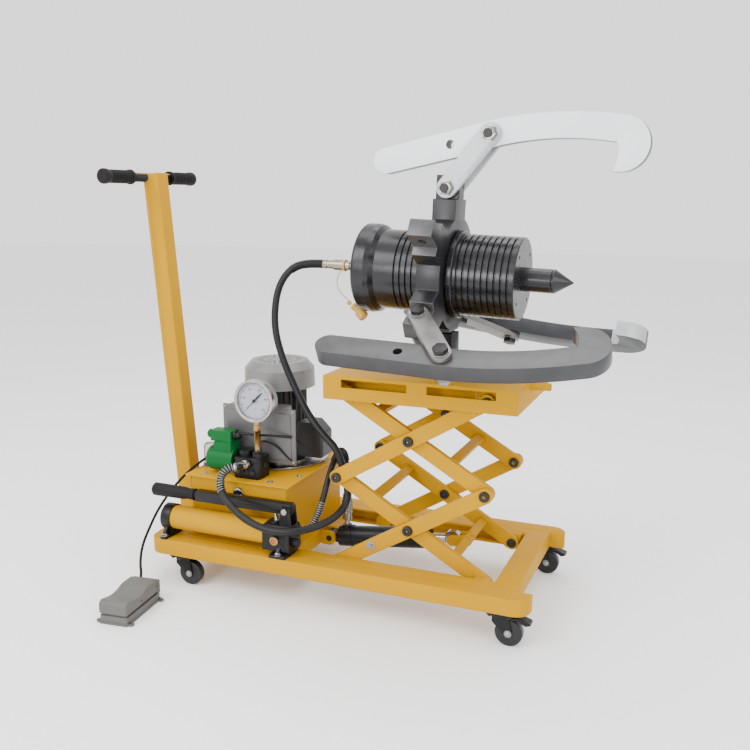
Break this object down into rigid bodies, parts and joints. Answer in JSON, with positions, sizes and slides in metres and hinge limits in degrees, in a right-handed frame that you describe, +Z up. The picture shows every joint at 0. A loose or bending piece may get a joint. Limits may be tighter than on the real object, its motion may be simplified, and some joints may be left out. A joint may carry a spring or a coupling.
{
  "type": "trolley mounted hydraulic puller",
  "caption": "Wheeled hydraulic three-jaw puller on a scissor lift table, with electric pump, hand pump, gauge, hoses, push handle and foot switch.",
  "frame": {"origin": "on the floor under the middle of the object", "axes": "+X from the push handle to the puller's point, +Z up, -Y towards the hand pump's side"},
  "size_m": [1.2984, 0.8031, 1.1599],
  "materials": {
    "aluminium": "cast aluminium",
    "black_paint": "satin black enamel",
    "black_rubber": "black rubber",
    "chrome": "polished chrome",
    "green_coil": "green moulded coil over steel",
    "grey_paint": "light grey enamel",
    "grey_plastic": "grey moulded plastic",
    "hose": "black hydraulic hose",
    "steel": "bare ground steel",
    "white_dial": "dark pointer",
    "yellow_paint": "gloss amber-yellow enamel",
    "zinc": "zinc-plated or machined steel"
  },
  "bodies": {
    "trolley": {"side_rails": "yellow_paint", "deck_and_beams": "yellow_paint", "base_channels": "yellow_paint", "caster_plates": "zinc", "push_handle": "yellow_paint", "handle_grips": "black_rubber", "tank": "yellow_paint", "tank_lid": "yellow_paint", "pump_unit": "aluminium", "motor_body": "black_paint", "fan_cover": "grey_paint", "terminal_box": "grey_paint", "valve_block": "steel", "solenoid_valve": "green_coil", "gauge_case": "chrome", "hand_pump_tube": "yellow_paint", "hand_pump_castings": "black_paint", "foot_switch_base": "grey_plastic", "switch_cord": "black_rubber", "puller_hose_lower": "hose"},
    "lower_inner": {"lower_inner_arms": "yellow_paint", "lower_arm_bolts": "zinc"},
    "lower_outer": {"lower_outer_arms": "yellow_paint"},
    "upper_outer": {"upper_outer_arms": "yellow_paint", "upper_arm_bolts": "zinc", "puller_hose_upper": "hose"},
    "upper_inner": {"upper_inner_arms": "yellow_paint"},
    "table": {"table": "yellow_paint", "support_post": "black_paint", "yoke": "black_paint", "cylinder_barrel": "black_paint", "cylinder_rings": "black_paint", "rear_coupler": "steel"},
    "ram": {"lift_barrel": "black_paint", "ram_coupler": "steel", "ram_hose": "hose"},
    "ram_rod": {"lift_rod": "steel"},
    "piston": {"piston_rod": "steel"},
    "rotor": {"motor_rotor": "steel"},
    "pointer": {"gauge_pointer": "white_dial"},
    "pump_lever": {"pump_lever": "black_paint"},
    "pump_plunger": {"pump_plunger": "steel"},
    "release_knob": {"release_knob": "grey_plastic"},
    "foot_pedal": {"foot_pedal": "grey_plastic"},
    "link_top": {"link_top": "zinc"},
    "jaw_top": {"jaw_top": "zinc"},
    "link_near": {"link_near": "zinc"},
    "jaw_near": {"jaw_near": "zinc"},
    "link_far": {"link_far": "zinc"},
    "jaw_far": {"jaw_far": "zinc"},
    "caster_front_near": {"caster_fork_front_near": "zinc"},
    "wheel_front_near": {"caster_wheel_front_near": "black_rubber"},
    "brake_near": {"caster_brake_near": "zinc"},
    "caster_front_far": {"caster_fork_front_far": "zinc"},
    "wheel_front_far": {"caster_wheel_front_far": "black_rubber"},
    "brake_far": {"caster_brake_far": "zinc"},
    "caster_rear_near": {"caster_fork_rear_near": "zinc"},
    "wheel_rear_near": {"caster_wheel_rear_near": "black_rubber"},
    "caster_rear_far": {"caster_fork_rear_far": "zinc"},
    "wheel_rear_far": {"caster_wheel_rear_far": "black_rubber"}
  },
  "joints": [
    {"name": "lift", "type": "hinge", "parent": "trolley", "child": "lower_inner", "pos_m": [0.35164, 0, 0.1007], "axis": [0, 1, 0], "range_deg": [-4, 25], "deforming": ["puller_hose_upper", "puller_hose_lower", "ram_hose"]},
    {"name": "lower_scissor", "type": "hinge", "parent": "lower_inner", "child": "lower_outer", "pos_m": [0.1683, 0, 0.20913], "axis": [0, 1, 0], "range_deg": [-50.1, 8.1]},
    {"name": "upper_scissor_outer", "type": "hinge", "parent": "lower_inner", "child": "upper_outer", "pos_m": [-0.01504, 0, 0.31755], "axis": [0, 1, 0], "range_deg": [-50.1, 8.1]},
    {"name": "upper_scissor_inner", "type": "hinge", "parent": "upper_outer", "child": "upper_inner", "pos_m": [0.1683, 0, 0.42598], "axis": [0, 1, 0], "range_deg": [-8.1, 50.1]},
    {"name": "table_level", "type": "hinge", "parent": "upper_outer", "child": "table", "pos_m": [0.35164, 0, 0.5344], "axis": [0, 1, 0], "range_deg": [-4.1, 25.1]},
    {"name": "ram_swing", "type": "hinge", "parent": "trolley", "child": "ram", "pos_m": [-0.1, 0, 0.1], "axis": [0, 1, 0], "range_deg": [-7, 1.2]},
    {"name": "ram_stroke", "type": "slide", "parent": "ram", "child": "ram_rod", "axis": [0.992, 0, 0.1259], "range_m": [-0.0059, 0.0355]},
    {"name": "swivel_front_near", "type": "hinge", "parent": "trolley", "child": "caster_front_near", "pos_m": [0.412, -0.208, 0.072], "axis": [0, 0, 1], "continuous": true},
    {"name": "roll_front_near", "type": "hinge", "parent": "caster_front_near", "child": "wheel_front_near", "pos_m": [0.43, -0.208, 0.0315], "axis": [0, 1, 0], "continuous": true},
    {"name": "brake_near", "type": "hinge", "parent": "caster_front_near", "child": "brake_near", "pos_m": [0.4375, -0.208, 0.0665], "axis": [0, 1, 0], "range_deg": [0, 10]},
    {"name": "swivel_front_far", "type": "hinge", "parent": "trolley", "child": "caster_front_far", "pos_m": [0.412, 0.208, 0.072], "axis": [0, 0, 1], "continuous": true},
    {"name": "roll_front_far", "type": "hinge", "parent": "caster_front_far", "child": "wheel_front_far", "pos_m": [0.43, 0.208, 0.0315], "axis": [0, 1, 0], "continuous": true},
    {"name": "brake_far", "type": "hinge", "parent": "caster_front_far", "child": "brake_far", "pos_m": [0.4375, 0.208, 0.0665], "axis": [0, 1, 0], "range_deg": [0, 10]},
    {"name": "swivel_rear_near", "type": "hinge", "parent": "trolley", "child": "caster_rear_near", "pos_m": [-0.421, -0.208, 0.072], "axis": [0, 0, 1], "continuous": true},
    {"name": "roll_rear_near", "type": "hinge", "parent": "caster_rear_near", "child": "wheel_rear_near", "pos_m": [-0.403, -0.208, 0.0315], "axis": [0, 1, 0], "continuous": true},
    {"name": "swivel_rear_far", "type": "hinge", "parent": "trolley", "child": "caster_rear_far", "pos_m": [-0.421, 0.208, 0.072], "axis": [0, 0, 1], "continuous": true},
    {"name": "roll_rear_far", "type": "hinge", "parent": "caster_rear_far", "child": "wheel_rear_far", "pos_m": [-0.403, 0.208, 0.0315], "axis": [0, 1, 0], "continuous": true},
    {"name": "piston_stroke", "type": "slide", "parent": "table", "child": "piston", "axis": [0.9991, 0, -0.0419], "range_m": [0, 0.15]},
    {"name": "link_swing_top", "type": "hinge", "parent": "table", "child": "link_top", "pos_m": [0.21025, 0, 0.99883], "axis": [0, -1, 0], "range_deg": [-20, 24]},
    {"name": "jaw_swing_top", "type": "hinge", "parent": "link_top", "child": "jaw_top", "pos_m": [0.30924, 0, 1.1168], "axis": [0, -1, 0], "range_deg": [-18, 7]},
    {"name": "link_swing_near", "type": "hinge", "parent": "table", "child": "link_near", "pos_m": [0.19787, -0.17061, 0.70359], "axis": [-0.0363, 0.5, -0.8653], "range_deg": [-20, 24]},
    {"name": "jaw_swing_near", "type": "hinge", "parent": "link_near", "child": "jaw_near", "pos_m": [0.28681, -0.27782, 0.63791], "axis": [-0.0363, 0.5, -0.8653], "range_deg": [-8, 12]},
    {"name": "link_swing_far", "type": "hinge", "parent": "table", "child": "link_far", "pos_m": [0.19787, 0.17061, 0.70359], "axis": [0.0363, 0.5, 0.8653], "range_deg": [-20, 24]},
    {"name": "jaw_swing_far", "type": "hinge", "parent": "link_far", "child": "jaw_far", "pos_m": [0.30244, 0.26654, 0.64377], "axis": [0.0363, 0.5, 0.8653], "range_deg": [-18, 1]},
    {"name": "motor_spin", "type": "hinge", "parent": "trolley", "child": "rotor", "pos_m": [-0.282, 0.062, 0.4], "axis": [0, 0, 1], "continuous": true},
    {"name": "gauge_needle", "type": "hinge", "parent": "trolley", "child": "pointer", "pos_m": [-0.246, -0.139, 0.482], "axis": [0, 1, 0], "range_deg": [0, 270]},
    {"name": "pump_handle", "type": "hinge", "parent": "trolley", "child": "pump_lever", "pos_m": [-0.128, -0.192, 0.233], "axis": [0, 1, 0], "range_deg": [0, 40]},
    {"name": "plunger_stroke", "type": "slide", "parent": "trolley", "child": "pump_plunger", "axis": [0, 0, 1], "range_m": [-0.0001, 0.0225]},
    {"name": "release_turn", "type": "hinge", "parent": "trolley", "child": "release_knob", "pos_m": [-0.112, -0.2, 0.154], "axis": [1, 0, 0], "range_deg": [0, 270]},
    {"name": "pedal_tread", "type": "hinge", "parent": "trolley", "child": "foot_pedal", "pos_m": [-0.45848, -0.33434, 0.04], "axis": [0.9945, 0.1045, 0], "range_deg": [0, 2], "stiffness_Nm_per_rad": 12, "springref_deg": -2.01}
  ],
  "couplings": [
    {"joint": "lower_scissor", "follows": "lift", "ratio": -2},
    {"joint": "upper_scissor_outer", "follows": "lift", "ratio": -2},
    {"joint": "upper_scissor_inner", "follows": "lift", "ratio": 2},
    {"joint": "table_level", "follows": "lift", "ratio": 1},
    {"joint": "ram_swing", "follows": "lift", "ratio": -0.276},
    {"joint": "ram_stroke", "follows": "lift", "m_per_rad": 0.081},
    {"joint": "plunger_stroke", "follows": "pump_handle", "m_per_rad": 0.032}
  ]
}
